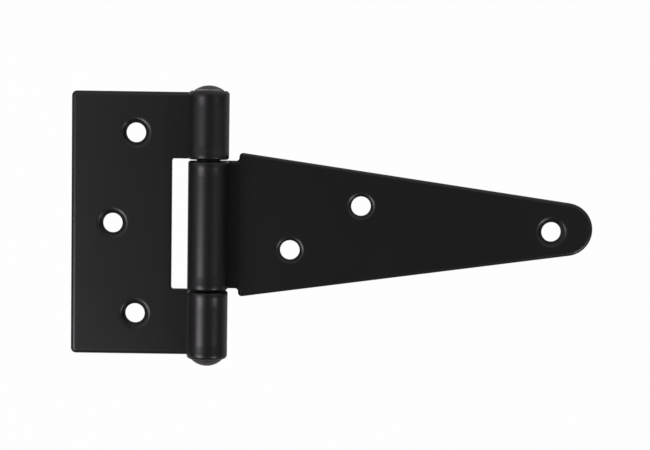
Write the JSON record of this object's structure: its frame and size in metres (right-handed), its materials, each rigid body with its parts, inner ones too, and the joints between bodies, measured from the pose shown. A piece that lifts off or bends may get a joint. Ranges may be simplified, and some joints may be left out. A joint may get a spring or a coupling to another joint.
{
  "type": "tee hinge",
  "caption": "Black coated steel tee hinge: a rectangular frame leaf and a long tapered strap leaf with rolled knuckles turning on a riveted pin, for hanging gates and doors.",
  "frame": {"origin": "on the flat back plane, under the pin's axis, halfway up the frame leaf", "axes": "+X along the strap towards its tip, +Y along the pin, +Z out of the front of the leaves"},
  "size_m": [0.1381, 0.0738, 0.0107],
  "materials": {
    "leaf_coat": "satin black powder coat on steel sheet",
    "pin_coat": "thin black coat over a hammered steel pin head, a little greyer than the leaves"
  },
  "bodies": {
    "frame": {"frame_leaf": "leaf_coat", "hinge_pin": "pin_coat"},
    "strap": {"strap_leaf": "leaf_coat"}
  },
  "joints": [
    {"name": "strap_swing", "type": "hinge", "parent": "frame", "child": "strap", "pos_m": [0, 0, 0.00535], "axis": [0, -1, 0], "range_deg": [-112, 188]}
  ]
}
